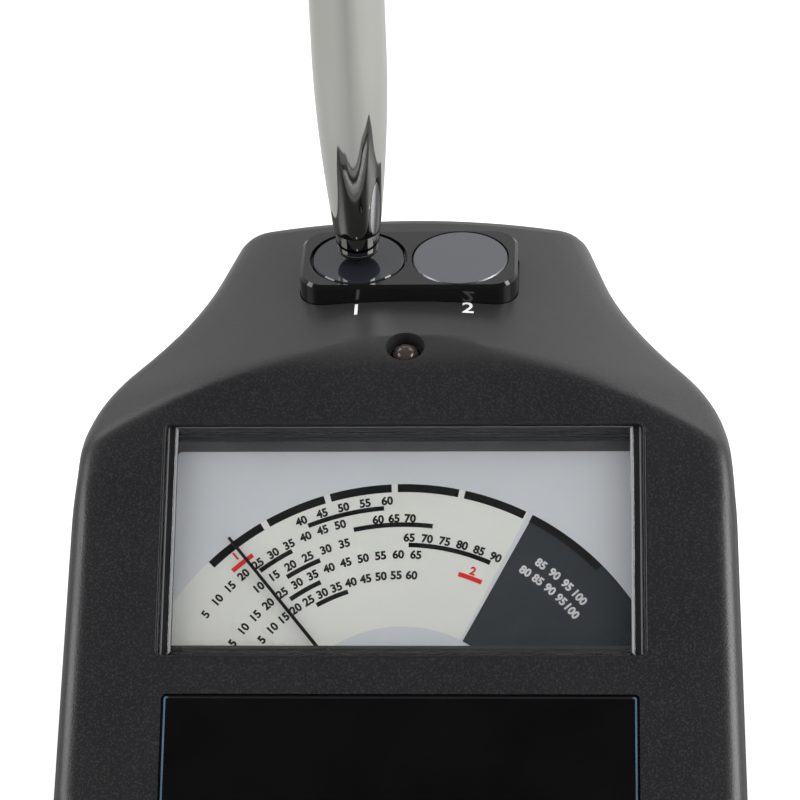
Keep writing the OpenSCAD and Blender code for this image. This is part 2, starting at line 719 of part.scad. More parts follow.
module meter_case() {
    middle = (meter_top + meter_bottom) / 2;
    dial_back = -dial_depth - dial_thickness;
    color(black) {
        difference() {
            on_panel(middle, case_back) linear_extrude(cover_back - case_back)
                round_rect(meter_width, meter_height, meter_corner);
            on_panel(middle, case_floor) linear_extrude(meter_depth)
                square([meter_width - 2 * meter_wall, meter_height - 2 * meter_wall], center = true);
            for (x = [-1, 1]) on_panel(terminal_down, case_back - past) translate([x * terminal_x, 0, 0])
                cylinder(h = meter_wall + 2 * past, r = terminal_radius + bearing_gap);
        }
        for (x = [-1, 1])
            on_panel(dial_bottom, case_floor)
                translate([x * (meter_width / 2 - meter_wall - rail_width / 2) - rail_width / 2, 0, 0])
                cube([rail_width, dial_bottom - dial_top, dial_back - case_floor]);
        on_panel(pivot_at, case_floor)
            tube(staff_radius + bearing_wall, staff_radius + bearing_gap, bearing_depth);
        for (x = [-1, 1]) on_panel(pivot_at, case_floor) translate([x * leg_at, 0, 0])
            cylinder(h = core_bottom - case_floor - bearing_gap, r = leg_radius);
    }
}
module dial_plate() {
    color([0.85, 0.86, 0.87]) on_panel((dial_top + dial_bottom) / 2, -dial_depth - dial_thickness)
        linear_extrude(dial_thickness) round_rect(dial_width, dial_bottom - dial_top, dial_corner);
}
module swinging(out) {
    on_panel(pivot_at, out) rotate(needle_angle) children();
}
hub_radius = 2;
tail_reach = 8;
tail_width = 2.4;
module needle() {
    color(black) swinging(needle_top - needle_thickness) linear_extrude(needle_thickness) difference() {
        union() {
            circle(hub_radius);
            polygon([
                [-needle_root_width / 2, 0], [needle_root_width / 2, 0],
                [needle_tip_width / 2, needle_length], [-needle_tip_width / 2, needle_length]
            ]);
            translate([-needle_root_width / 2, -tail_reach]) square([needle_root_width, tail_reach]);
            translate([-tail_width / 2, -tail_reach]) square([tail_width, tail_reach / 3]);
        }
        circle(staff_radius);
    }
}
staff_end = 0.2;
staff_end_gap = 0.1;
module coil_staff() {
    color(steel) {
        swinging(coil_top) {
            cylinder(h = needle_top - coil_top + staff_end, r = staff_radius);
            cylinder(h = spring_top - coil_top, r = collet_radius);
        }
        swinging(case_floor + staff_end_gap)
            cylinder(h = coil_bottom - case_floor - staff_end_gap, r = staff_radius);
    }
}
module moving_coil() {
    height = coil_top - coil_bottom;
    color([0.6, 0.3, 0.15]) swinging(coil_bottom)
        translate([-coil_reach, -coil_band / 2, 0]) difference() {
            cube([2 * coil_reach, coil_band, height]);
            translate([coil_wall, -past, coil_wall])
                cube([2 * (coil_reach - coil_wall), coil_band + 2 * past, height - 2 * coil_wall]);
        }
}
function spiral(radius_in, radius_out, turns, steps) = [
    for (i = [0 : steps])
    let (a = 360 * turns * i / steps)
    (radius_in + (radius_out - radius_in) * i / steps) * [cos(a), sin(a)]
];
spring_span = 3.2;
module hairspring() {
    steps = 24 * spring_turns;
    reach = collet_radius + spring_span;
    inner = spiral(collet_radius, reach - spring_strip, spring_turns, steps);
    outer = spiral(collet_radius + spring_strip, reach, spring_turns, steps);
    color(brass) swinging(spring_top - spring_height) linear_extrude(spring_height)
        polygon(concat(outer, [for (i = [steps : -1 : 0]) inner[i]]));
}
module meter_magnet() {
    web = 2.4;
    color([0.45, 0.45, 0.47]) on_panel(pivot_at, core_bottom) {
        height = core_top - core_bottom;
        tube(yoke_radius + yoke_wall, yoke_radius, height);
        cylinder(h = height, r = core_radius);
        translate([-web / 2, -yoke_radius - embed, 0]) cube([web, 2 * (yoke_radius + embed), height]);
    }
}
module meter_bridge() {
    strip = 5;
    color(brass) on_panel(pivot_at, 0) difference() {
        union() {
            translate([-leg_at - strip / 2, -strip / 2, bridge_back])
                cube([2 * leg_at + strip, strip, bridge_thickness]);
            for (x = [-1, 1]) translate([x * leg_at, 0, core_top])
                cylinder(h = bridge_top - core_top, r = leg_radius);
        }
        translate([0, 0, bridge_back - past])
            cylinder(h = bridge_thickness + 2 * past, r = staff_radius + bearing_gap);
    }
}
terminal_radius = 1.5;
terminal_x = 14;
terminal_down = window_drop + window_height / 2;
terminal_reach = 4;
terminal_nut = 2;
module terminal(side) {
    color(brass) on_panel(terminal_down, case_back) translate([side * terminal_x, 0, 0]) {
        translate([0, 0, -terminal_reach]) cylinder(h = terminal_reach + meter_wall, r = terminal_radius);
        translate([0, 0, -terminal_nut]) cylinder(h = terminal_nut, r = 2 * terminal_radius, $fn = 6);
    }
}

// Board over the battery bay
module circuit_board() {
    color([0.1, 0.35, 0.2]) translate([-board_width / 2, board_y - board_depth / 2, board_z])
        cube([board_width, board_depth, board_thickness]);
}
chip_size = [14, 9, 2];
chip_forward = 12;
module main_chip() {
    color(black) translate([-chip_size[0] / 2, board_y - chip_forward, board_top]) cube(chip_size);
}
capacitor_place = [15, -11];
capacitor_height = 9;
capacitor_radius = 3;
module capacitor(side) {
    color([0.2, 0.25, 0.4]) translate([side * capacitor_place[0], board_y + capacitor_place[1], board_top])
        cylinder(h = capacitor_height, r = capacitor_radius);
}
buzzer_back = 5;
buzzer_height = 7;
buzzer_radius = 6;
buzzer_hole = 1;
module buzzer() {
    color(black) translate([0, board_y + buzzer_back, board_top]) difference() {
        cylinder(h = buzzer_height, r = buzzer_radius);
        translate([0, 0, buzzer_height - buzzer_hole]) cylinder(h = buzzer_hole + past, r = buzzer_hole);
    }
}

// Probe socket, power inlet and power switch in the rear wall
jack_collar = 3;
inlet_collar = 4.2;
socket_depth = 9;
socket_floor = 1;
jack_block = 9;
inlet_block = 11;
inlet_pin_radius = 0.8;
module socket(x, collar, bore, side) {
    at_rear(x, -wall) difference() {
        union() {
            cylinder(h = wall, r = collar);
            translate([-side / 2, -side / 2, -socket_depth]) cube([side, side, socket_depth]);
        }
        translate([0, 0, socket_floor - socket_depth]) cylinder(h = socket_depth + wall + past, r = bore);
    }
}
module probe_socket() {
    color(black) socket(-socket_offset, jack_collar, probe_jack_radius, jack_block);
}
module power_inlet() {
    color(black) {
        socket(socket_offset, inlet_collar, power_jack_radius, inlet_block);
        at_rear(socket_offset, -wall - socket_depth) cylinder(h = socket_depth, r = inlet_pin_radius);
    }
}
knob_width = 4;
knob_height = 3.4;
knob_sink = 0.3;
knob_foot = 1.2;
knob_lift = 0.1;
rib_count = 3;
rib_cut = [0.5, 0.4];
switch_depth = 5;
switch_side = [14, 7];
module switch_body() {
    run = knob_width + switch_travel + 2 * slide_gap;
    color([0.3, 0.3, 0.32]) at_rear(0, -wall - switch_depth) difference() {
        translate([-switch_side[0] / 2, -switch_side[1] / 2, 0])
            cube([switch_side[0], switch_side[1], switch_depth]);
        translate([-run / 2, -knob_height / 2 - slide_gap, switch_depth - knob_foot])
            cube([run, knob_height + 2 * slide_gap, knob_foot + past]);
    }
}
module switch_knob() {
    knob_top = knob_foot - knob_lift + wall - knob_sink;
    color(black) at_rear(-switch_travel / 2, -wall - knob_foot + knob_lift) difference() {
        translate([-knob_width / 2, -knob_height / 2, 0])
            cube([knob_width, knob_height, knob_top]);
        for (i = [0 : rib_count - 1])
            translate([(i - (rib_count - 1) / 2) * knob_width / (rib_count + 1), 0, knob_top])
            cube([rib_cut[0], knob_height + past, 2 * rib_cut[1]], center = true);
    }
}

// Batteries side by side, with a contact strip at each end of the bay
battery_nub = 0.8;
battery_nub_radius = 2;
module battery(i) {
    color([0.35, 0.4, 0.5]) translate([(i - 1) * battery_pitch, 0, battery_z]) {
        translate([0, bay_front + contact_reach, 0]) rotate([-90, 0, 0])
            cylinder(h = battery_length - battery_nub, r = battery_radius);
        translate([0, bay_front + contact_reach, 0]) rotate([-90, 0, 0])
            cylinder(h = battery_length, r = battery_nub_radius);
    }
}
contact_root = 3.6;
contact_end = 2;
contact_nub_radius = 1.6;
module contact_strip(y) {
    foot = base_bottom + lid_thickness + slide_gap;
    translate([-bay_half, y, foot]) cube([2 * bay_half, contact_thickness, bay_roof - foot]);
}
module contact_front() {
    color(steel) {
        contact_strip(bay_front);
        for (i = [-1 : 1]) translate([i * battery_pitch, bay_front + contact_thickness, battery_z])
            rotate([-90, 0, 0])
            cylinder(h = contact_reach - contact_thickness, r1 = contact_root, r2 = contact_end);
    }
}
module contact_rear() {
    color(steel) {
        contact_strip(bay_rear - contact_thickness);
        for (i = [-1 : 1]) translate([i * battery_pitch, bay_rear - contact_nub, battery_z])
            rotate([-90, 0, 0]) cylinder(h = contact_nub, r = contact_nub_radius);
    }
}

// Probe: the barrel swells from its nose in one smooth curve, then runs straight to its tail
taper_steps = 16;
taper_power = 0.9;
function taper_radius(share) =
    barrel_end_radius + (barrel_radius - barrel_end_radius) * sin(90 * share) ^ taper_power;
module probe_barrel() {
    outside = [for (i = [0 : taper_steps])
        [taper_radius(i / taper_steps), barrel_foot + taper_length * i / taper_steps]];
    inside = [for (i = [taper_steps : -1 : 0])
        [taper_radius(i / taper_steps) - barrel_wall, barrel_foot + taper_length * i / taper_steps]];
    color(steel) at_probe() rotate_extrude() polygon(concat(
        outside,
        [[barrel_radius, straight_top], [barrel_radius - barrel_wall, straight_top]],
        inside
    ));
}
// The nose is round at its foot, with a fine groove where it meets the barrel
nose_tip_radius = 2.1;
nose_shoulder = 0.3;
nose_round = 1.7;
nose_step = 0.1;
nose_groove = 0.25;
plug_length = 5;
module probe_nose() {
    hole = tip_radius + bearing_gap;
    plug = bore_radius - seat_gap;
    shoulder = barrel_end_radius - nose_shoulder;
    top = barrel_end_radius - nose_step;
    groove_foot = barrel_foot - nose_groove;
    color(black) at_probe() rotate_extrude() polygon(concat(
        [[hole, nose_foot]],
        [for (a = [0 : 15 : 90])
            [nose_tip_radius + (shoulder - nose_tip_radius) * sin(a), nose_foot + nose_round * (1 - cos(a))]],
        [[top, groove_foot], [top - nose_groove, groove_foot], [top - nose_groove, barrel_foot]],
        [[plug, barrel_foot], [plug, barrel_foot + plug_length], [hole, barrel_foot + plug_length]]
    ));
}
tip_flange_gap = 0.3;
tip_flange = 0.8;
tip_flange_z = barrel_foot + plug_length + tip_flange_gap;
tip_flange_radius = 1.6;
spring_room = 5;
module probe_tip() {
    color([0.72, 0.45, 0.3]) at_probe(tip_foot) {
        cylinder(h = tip_flange_z - tip_foot, r = tip_radius);
        translate([0, 0, tip_flange_z - tip_foot]) cylinder(h = tip_flange, r = tip_flange_radius);
    }
}
guide_foot = tip_flange_z + tip_flange + spring_room;
guide_length = 10;
module tip_guide() {
    share = (guide_foot - barrel_foot) / taper_length;
    color([0.6, 0.55, 0.4]) at_probe(guide_foot)
        cylinder(h = guide_length, r = taper_radius(share) - barrel_wall - seat_gap);
}
wire_radius = 0.2;
spring_end_gap = 0.1;
module tip_spring() {
    turns = 5;
    steps = 12 * turns;
    coil = tip_flange_radius - wire_radius;
    room = spring_room - 2 * wire_radius - 2 * spring_end_gap;
    sides = 6;
    points = [for (i = [0 : steps]) for (k = [0 : sides - 1])
        let (a = 360 * turns * i / steps, b = 360 * k / sides, r = coil + wire_radius * cos(b))
        [r * cos(a), r * sin(a), wire_radius + spring_end_gap + room * i / steps + wire_radius * sin(b)]];
    sides_faces = [for (i = [0 : steps - 1]) for (k = [0 : sides - 1])
        let (p = i * sides + k, q = i * sides + (k + 1) % sides)
        each [[p, p + sides, q + sides], [p, q + sides, q]]];
    ends = [[for (k = [0 : sides - 1]) k], [for (k = [sides - 1 : -1 : 0]) steps * sides + k]];
    color(steel) at_probe(tip_flange_z + tip_flange) polyhedron(points, concat(sides_faces, ends));
}
tail_plug = 6;
tail_neck = 2.8;
tail_dome = 0.8;
module probe_tail() {
    plug = barrel_radius - barrel_wall - seat_gap;
    color(black) at_probe() rotate_extrude() polygon(concat(
        [[tail_bore, straight_top - tail_plug], [plug, straight_top - tail_plug], [plug, straight_top]],
        [for (a = [0 : 15 : 75])
            [tail_neck + (barrel_radius - tail_neck) * cos(a),
                straight_top + tail_dome * tail_length * sin(a)]],
        [[tail_neck, straight_top + tail_length], [tail_bore, straight_top + tail_length]]
    ));
}

top_shell();
base_shell();
battery_cover();
name_plate();
for (i = [0 : 3]) foot(i);
for (i = [0 : 3]) case_screw(i);
disc_tray();
glass_disc();
reference_disc();
ready_lamp();
lamp_holder();
meter_cover();
meter_case();
dial_plate();
needle();
moving_coil();
coil_staff();
hairspring();
meter_magnet();
meter_bridge();
for (i = [0 : 1]) terminal(2 * i - 1);
circuit_board();
main_chip();
for (i = [0 : 1]) capacitor(2 * i - 1);
buzzer();
probe_socket();
power_inlet();
switch_body();
switch_knob();
for (i = [0 : 2]) battery(i);
contact_front();
contact_rear();
probe_barrel();
probe_nose();
probe_tip();
tip_guide();
tip_spring();
probe_tail();
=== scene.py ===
import bpy
import bmesh
from math import acos, cos, degrees, radians, sin, sqrt
from mathutils import Matrix, Vector


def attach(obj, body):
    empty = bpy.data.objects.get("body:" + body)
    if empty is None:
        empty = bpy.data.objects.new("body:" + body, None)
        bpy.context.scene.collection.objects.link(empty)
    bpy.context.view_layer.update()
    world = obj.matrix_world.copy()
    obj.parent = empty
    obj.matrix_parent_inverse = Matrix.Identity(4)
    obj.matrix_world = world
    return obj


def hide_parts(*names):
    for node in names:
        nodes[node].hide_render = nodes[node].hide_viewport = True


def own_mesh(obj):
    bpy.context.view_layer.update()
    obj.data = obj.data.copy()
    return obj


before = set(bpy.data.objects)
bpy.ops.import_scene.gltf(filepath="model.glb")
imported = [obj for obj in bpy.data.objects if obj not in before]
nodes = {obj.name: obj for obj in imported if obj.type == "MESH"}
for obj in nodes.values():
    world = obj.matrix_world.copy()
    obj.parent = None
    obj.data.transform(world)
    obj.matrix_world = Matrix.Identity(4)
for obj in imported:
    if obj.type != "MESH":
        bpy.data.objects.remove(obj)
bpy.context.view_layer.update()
print("frame loaded:", len(nodes), "nodes")

# pieces are drawn in millimetres, and the meter panel leans back about the crease at its top
mm = 0.001
close = 0.01  # lengths nearer than this are the same
panel = {"slope": 35.2, "creaseY": 15.1044, "creaseZ": 66.2260, "pivotDown": 60.7}
millimetres = Matrix.Scale(mm, 4)
panelFrame = (millimetres
              @ Matrix.Translation((0, panel["creaseY"], panel["creaseZ"]))
              @ Matrix.Rotation(radians(panel["slope"]), 4, "X"))

# finishes are in metres, on object coordinates
cloudSpan = (0.3, 0.7)  # where nearly all of a noise lies
mixSockets = {"RGBA": (6, 7, 2), "FLOAT": (2, 3, 0)}  # first, second and result on a Mix node


def newMaterial(name):
    material = bpy.data.materials.new(name)
    material.use_nodes = True
    tree = material.node_tree
    return material, tree, tree.nodes["Principled BSDF"]


def feed(tree, value, shader, socketName):
    tree.links.new(value, shader.inputs[socketName])


def setOrLink(tree, value, socket):
    if isinstance(value, (int, float)):
        socket.default_value = value
    elif isinstance(value, tuple):
        socket.default_value = (*value, 1)
    else:
        tree.links.new(value, socket)


def objectPlace(tree, stretch=(1, 1, 1)):
    place = tree.nodes.new("ShaderNodeTexCoord")
    mapping = tree.nodes.new("ShaderNodeMapping")
    mapping.inputs["Scale"].default_value = stretch
    tree.links.new(place.outputs["Object"], mapping.inputs["Vector"])
    return mapping.outputs["Vector"]


def along(tree, place, axis):
    apart = tree.nodes.new("ShaderNodeSeparateXYZ")
    tree.links.new(place, apart.inputs["Vector"])
    return apart.outputs[axis]


def noise(tree, place, scale, detail=2):
    texture = tree.nodes.new("ShaderNodeTexNoise")
    texture.inputs["Scale"].default_value = scale
    texture.inputs["Detail"].default_value = detail
    tree.links.new(place, texture.inputs["Vector"])
    return texture.outputs["Fac"]


def spread(tree, value, low, high, toLow, toHigh):
    ranger = tree.nodes.new("ShaderNodeMapRange")
    for name, number in (("From Min", low), ("From Max", high), ("To Min", toLow), ("To Max", toHigh)):
        ranger.inputs[name].default_value = number
    tree.links.new(value, ranger.inputs["Value"])
    return ranger.outputs["Result"]


def mix(tree, factor, first, second, kind="RGBA"):
    mixer = tree.nodes.new("ShaderNodeMix")
    mixer.data_type = kind
    firstSocket, secondSocket, result = mixSockets[kind]
    tree.links.new(factor, mixer.inputs[0])
    setOrLink(tree, first, mixer.inputs[firstSocket])
    setOrLink(tree, second, mixer.inputs[secondSocket])
    return mixer.outputs[result]


def reckon(tree, operation, first, second):
    sums = tree.nodes.new("ShaderNodeMath")
    sums.operation = operation
    setOrLink(tree, first, sums.inputs[0])
    setOrLink(tree, second, sums.inputs[1])
    return sums.outputs[0]


def bump(tree, shader, height, strength, depth):
    raised = tree.nodes.new("ShaderNodeBump")
    raised.inputs["Strength"].default_value = strength
    raised.inputs["Distance"].default_value = depth
    tree.links.new(height, raised.inputs["Height"])
    feed(tree, raised.outputs["Normal"], shader, "Normal")
    return raised


# colour, how far it drifts, roughness low and high, size of the clouds and of the grain
def finish(name, colour, drift=0.1, rough=(0.4, 0.5), metal=0.0, ior=1.5, cloud=0.012,
           grain=0.0004, relief=0.1, depth=0.00002, stretch=(1, 1, 1)):
    material, tree, shader = newMaterial(name)
    shader.inputs["Metallic"].default_value = metal
    shader.inputs["IOR"].default_value = ior
    place = objectPlace(tree, stretch)
    clouds = noise(tree, place, 1 / cloud, 3)
    darker = tuple(c * (1 - drift) for c in colour)
    lighter = tuple(min(1, c * (1 + drift)) for c in colour)
    feed(tree, mix(tree, spread(tree, clouds, *cloudSpan, 0, 1), darker, lighter), shader, "Base Color")
    feed(tree, spread(tree, clouds, *cloudSpan, *rough), shader, "Roughness")
    if relief:
        bump(tree, shader, noise(tree, place, 1 / grain), relief, depth)
    return material


# the panel is dark and grained, the deck behind the crease is smoother, and the walls are dull
housingLook = {
    "panelColour": (0.0110, 0.0111, 0.0126), "deckColour": (0.0222, 0.0223, 0.0234),
    "speck": (0.034, 0.034, 0.036), "speckScale": 3200, "speckSpan": (0.50, 0.74), "speckMost": 0.45,
    "crease": (0.0135, 0.0175), "panelRough": 0.36, "deckRough": 0.33, "wallRough": 0.62,
    "wallFacing": (0.1, 0.5), "cloudScale": 60, "cloudRough": 0.03,
    "grain": 0.00030, "panelRelief": 0.80, "deckRelief": 0.30, "depth": 0.00003, "ior": 1.58,
}


def mouldedPlastic():
    look = housingLook
    material, tree, shader = newMaterial("mouldedPlastic")
    shader.inputs["IOR"].default_value = look["ior"]
    place = objectPlace(tree)
    onDeck = spread(tree, along(tree, place, "Y"), *look["crease"], 0, 1)
    base = mix(tree, onDeck, look["panelColour"], look["deckColour"])
    grit = noise(tree, place, look["speckScale"], 0)
    specks = spread(tree, grit, *look["speckSpan"], 0, look["speckMost"])
    feed(tree, mix(tree, specks, base, look["speck"]), shader, "Base Color")
    clouds = noise(tree, place, look["cloudScale"], 3)
    drift = spread(tree, clouds, *cloudSpan, -look["cloudRough"], look["cloudRough"])
    rough = spread(tree, onDeck, 0, 1, look["panelRough"], look["deckRough"])
    facing = along(tree, tree.nodes.new("ShaderNodeNewGeometry").outputs["Normal"], "Z")
    coarser = spread(tree, facing, *look["wallFacing"], look["wallRough"] - look["panelRough"], 0)
    rough = reckon(tree, "ADD", rough, coarser)
    feed(tree, reckon(tree, "ADD", rough, drift), shader, "Roughness")
    raised = bump(tree, shader, noise(tree, place, 1 / look["grain"]), look["panelRelief"], look["depth"])
    relief = spread(tree, onDeck, 0, 1, look["panelRelief"], look["deckRelief"])
    tree.links.new(relief, raised.inputs["Strength"])
    return material


clearLook = {"ior": 1.49, "cloudScale": 90, "shade": 0.985, "span": (0.35, 0.7)}


def clearPlastic(name, colour, rough, through):
    material, tree, shader = newMaterial(name)
    shader.inputs["Transmission Weight"].default_value = through
    shader.inputs["IOR"].default_value = clearLook["ior"]
    clouds = noise(tree, objectPlace(tree), clearLook["cloudScale"], 3)
    shaded = tuple(c * clearLook["shade"] for c in colour)
    feed(tree, mix(tree, clouds, colour, shaded), shader, "Base Color")
    feed(tree, spread(tree, clouds, *clearLook["span"], *rough), shader, "Roughness")
    return material


# the nose is chrome between a black end just over the disc and a black groove under the barrel
noseLook = {"chrome": (0.46, 0.457, 0.432), "black": (0.006, 0.006, 0.0065), "endTop": 0.07255,
            "grooveFoot": 0.07590, "blur": 0.0001, "polishScale": 300, "polish": (0.03, 0.06), "dull": 0.5}


def noseFinish():
    look = noseLook
    material, tree, shader = newMaterial("noseFinish")
    place = objectPlace(tree)
    height = along(tree, place, "Z")
    overEnd = spread(tree, height, look["endTop"], look["endTop"] + look["blur"], 0, 1)
    underGroove = reckon(tree, "LESS_THAN", height, look["grooveFoot"])
    isChrome = reckon(tree, "MULTIPLY", overEnd, underGroove)
    feed(tree, mix(tree, isChrome, look["black"], look["chrome"]), shader, "Base Color")
    feed(tree, isChrome, shader, "Metallic")
    polish = spread(tree, noise(tree, place, look["polishScale"]), *cloudSpan, *look["polish"])
    dull = spread(tree, isChrome, 0, 1, look["dull"], 0)
    feed(tree, reckon(tree, "ADD", polish, dull), shader, "Roughness")
    return material


# a painted reflection on the plate's polished edge: pale blue down both sides and black along the top
plateReflectionLook = {"reflectedBlue": (0.052, 0.112, 0.166), "black": (0.009, 0.010, 0.011), "fade": (0.0350, 0.0354),
            "cloudScale": 140, "shade": (0.75, 1), "rough": (0.3, 0.4)}


def plateEdgeReflection():
    look = plateReflectionLook
    material, tree, shader = newMaterial("plateEdgeReflection")
    place = objectPlace(tree)
    aside = reckon(tree, "ABSOLUTE", along(tree, place, "X"), 0)
    # pale blue only out at the two sides, a painted reflection
    isReflected = spread(tree, aside, *look["fade"], 0, 1)
    clouds = spread(tree, noise(tree, place, look["cloudScale"], 3), *cloudSpan, *look["shade"])
    clouded = reckon(tree, "MULTIPLY", isReflected, clouds)
    feed(tree, mix(tree, clouded, look["black"], look["reflectedBlue"]), shader, "Base Color")
    feed(tree, spread(tree, clouds, *look["shade"], *look["rough"]), shader, "Roughness")
    return material


looks = {
    "housing": mouldedPlastic(),
    "gloss": finish("polishedBlack", (0.006, 0.006, 0.0065), 0.1, (0.05, 0.09), cloud=0.006, grain=0.0012,
                    relief=0.012),
    "plate": finish("plateBlack", (0.0030, 0.0030, 0.0033), 0.1, (0.16, 0.22), cloud=0.01, grain=0.0007,
                    relief=0.03),
    "soft": finish("plainBlack", (0.016, 0.016, 0.017), 0.12, (0.5, 0.6), grain=0.0003, relief=0.2),
    "caseInside": finish("meterCaseBlack", (0.13, 0.132, 0.138), 0.12, (0.3, 0.4), relief=0.08),
    "rubber": finish("footRubber", (0.012, 0.012, 0.012), 0.2, (0.75, 0.9), grain=0.0002, relief=0.35),
    "glassDisc": finish("glassDiscFace", (0.0135, 0.0150, 0.0185), 0.05, (0.02, 0.04), ior=1.62, relief=0),
    "referenceDisc": finish("satinSteelDisc", (0.252, 0.256, 0.276), 0.03, (0.30, 0.36), metal=1.0,
                            cloud=0.004, grain=0.0002, relief=0.03),
    "lamp": clearPlastic("lampMilky", (0.060, 0.046, 0.043), (0.03, 0.08), 0.3),
    "cover": clearPlastic("coverClear", (0.985, 0.99, 0.99), (0.0, 0.012), 1.0),
    "dial": finish("dialWhite", (0.69, 0.71, 0.745), 0.015, (0.5, 0.6), cloud=0.02, grain=0.00025,
                   relief=0.03),
    "needle": finish("needleBlack", (0.012, 0.012, 0.012), 0.1, (0.45, 0.55), relief=0.05),
    "copper": finish("copperWinding", (0.42, 0.16, 0.07), 0.15, (0.25, 0.4), metal=0.9, cloud=0.003,
                     grain=0.00025, relief=0.5, stretch=(1, 1, 6)),
    # the copper tip is painted dark, a painted shade of the gap between the nose and the disc
    "tip": finish("copperTipPaintedShade", (0.07, 0.045, 0.03), 0.15, (0.35, 0.45), metal=0.9, cloud=0.002,
                  relief=0.05),
    "steel": finish("brightSteel", (0.52, 0.52, 0.50), 0.06, (0.2, 0.32), metal=1.0, cloud=0.004,
                    grain=0.0003, relief=0.08),
    "iron": finish("magnetIron", (0.16, 0.16, 0.17), 0.2, (0.45, 0.6), metal=0.8, cloud=0.003, relief=0.3),
    "brass": finish("brassParts", (0.52, 0.38, 0.15), 0.08, (0.22, 0.35), metal=1.0, cloud=0.004,
                    grain=0.0003, relief=0.08),
    "board": finish("boardGreen", (0.012, 0.075, 0.035), 0.2, (0.3, 0.4), cloud=0.003, grain=0.0005,
                    relief=0.15),
    "cell": finish("cellWrap", (0.05, 0.06, 0.10), 0.1, (0.22, 0.3), cloud=0.01, grain=0.0006, relief=0.05),
    "chrome": finish("probeChrome", (0.465, 0.463, 0.436), 0.01, (0.03, 0.05), metal=1.0, cloud=0.02,
                     relief=0),
    "nose": noseFinish(),
    # pale grey for the cover's rounded edges, a painted highlight
    "coverPaintedHighlight": finish("coverEdgePaintedHighlight", (0.20, 0.202, 0.210), 0.05, (0.3, 0.4), cloud=0.004, relief=0.03),
    "coverShoulder": finish("coverSatinShoulder", (0.018, 0.018, 0.019), 0.05, (0.3, 0.4), cloud=0.004,
                            relief=0.03),
    "mask": finish("maskGrey", (0.080, 0.080, 0.078), 0.1, (0.4, 0.5), relief=0.05),
    "inkBlack": finish("inkBlack", (0.012, 0.012, 0.013), 0.1, (0.5, 0.6), relief=0.05),
    "inkRed": finish("inkRed", (0.85, 0.014, 0.009), 0.03, (0.5, 0.6), relief=0.05),
    "inkWhite": finish("inkWhite", (0.75, 0.75, 0.75), 0.03, (0.5, 0.6), relief=0.05),
    "inkBeige": finish("inkBeige", (0.82, 0.825, 0.775), 0.02, (0.5, 0.6), cloud=0.02, grain=0.00025,
                       relief=0.03),
    "inkSlate": finish("inkSlate", (0.045, 0.054, 0.062), 0.05, (0.5, 0.6), cloud=0.02, grain=0.00025,
                       relief=0.03),
    # the plate edge's painted reflection
    "plateEdge": plateEdgeReflection(),
}

nodeLooks = {
    "housing": ["top_shell", "base_shell", "battery_cover"],
    "gloss": ["disc_tray"],
    "plate": ["name_plate"],
    "soft": ["lamp_holder", "main_chip", "buzzer", "probe_socket", "power_inlet", "switch_body",
             "switch_knob", "probe_tail"],
    "caseInside": ["meter_case"],
    "rubber": ["foot_1", "foot_2", "foot_3", "foot_4"],
    "steel": ["case_screw_1", "case_screw_2", "case_screw_3", "case_screw_4", "coil_staff", "contact_front",
              "contact_rear", "tip_spring"],
    "glassDisc": ["glass_disc"],
    "referenceDisc": ["reference_disc"],
    "lamp": ["ready_lamp"],
    "cover": ["meter_cover"],
    "dial": ["dial_plate"],
    "needle": ["needle"],
    "copper": ["moving_coil"],
    "tip": ["probe_tip"],
    "iron": ["meter_magnet"],
    "brass": ["hairspring", "meter_bridge", "terminal_1", "terminal_2", "tip_guide"],
    "board": ["circuit_board"],
    "cell": ["capacitor_1", "capacitor_2", "battery_1", "battery_2", "battery_3"],
    "chrome": ["probe_barrel"],
    "nose": ["probe_nose"],
}
for look, names in nodeLooks.items():
    for name in names:
        mesh = nodes[name].data
        mesh.materials.clear()
        mesh.materials.append(looks[look])
print("finishes given to", sum(len(names) for names in nodeLooks.values()), "nodes")


def shadeRound(mesh, smoothAngle):
    mesh.shade_smooth()
    mesh.set_sharp_from_angle(angle=radians(smoothAngle))


def placePiece(name, mesh, look, body):
    mesh.materials.append(looks[look])
    piece = bpy.data.objects.new(name, mesh)
    bpy.context.scene.collection.objects.link(piece)
    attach(piece, body)
    return piece


# a piece with a smooth angle is shaded round, with its sharper edges kept
def addPiece(name, bm, look, body, place, smoothAngle=None):
    bmesh.ops.recalc_face_normals(bm, faces=bm.faces)
    bmesh.ops.transform(bm, matrix=place, verts=bm.verts)
    mesh = bpy.data.meshes.new(name)
    bm.to_mesh(mesh)
    bm.free()
    if smoothAngle:
        shadeRound(mesh, smoothAngle)
    return placePiece(name, mesh, look, body)


def grownPoints(grown):
    return [v for v in grown["geom"] if isinstance(v, bmesh.types.BMVert)]


def raiseFaces(bm, height):
    grown = bmesh.ops.extrude_face_region(bm, geom=bm.faces[:], use_keep_orig=True)
    bmesh.ops.translate(bm, vec=(0, 0, height), verts=grownPoints(grown))


def roundOff(bm, geom, affect, offset, segments):
    bmesh.ops.bevel(bm, geom=geom, offset=offset, offset_type="OFFSET", affect=affect, segments=segments,
                    profile=0.5, material=-1)


def addBlock(bm, low, high):
    made = bmesh.ops.create_cube(bm, size=1)
    bmesh.ops.scale(bm, vec=[b - a for a, b in zip(low, high)], verts=made["verts"])
    bmesh.ops.translate(bm, vec=[(a + b) / 2 for a, b in zip(low, high)], verts=made["verts"])


def cutAt(bm, point, normal, clear=False):
    bmesh.ops.bisect_plane(bm, geom=bm.verts[:] + bm.edges[:] + bm.faces[:], plane_co=point, plane_no=normal,
                           clear_outer=clear)


# a flat band round the needle's pivot, angles from the middle of the scale, with about one step a degree
def arcBand(bm, inner, outer, start, end, level):
    ends = [bm.verts.new((r * sin(radians(start)), r * cos(radians(start)), level)) for r in (inner, outer)]
    edge = bm.edges.new(ends)
    bmesh.ops.spin(bm, geom=ends + [edge], cent=(0, 0, 0), axis=(0, 0, -1), angle=radians(end - start),
                   steps=max(2, int(abs(end - start))), use_merge=False)


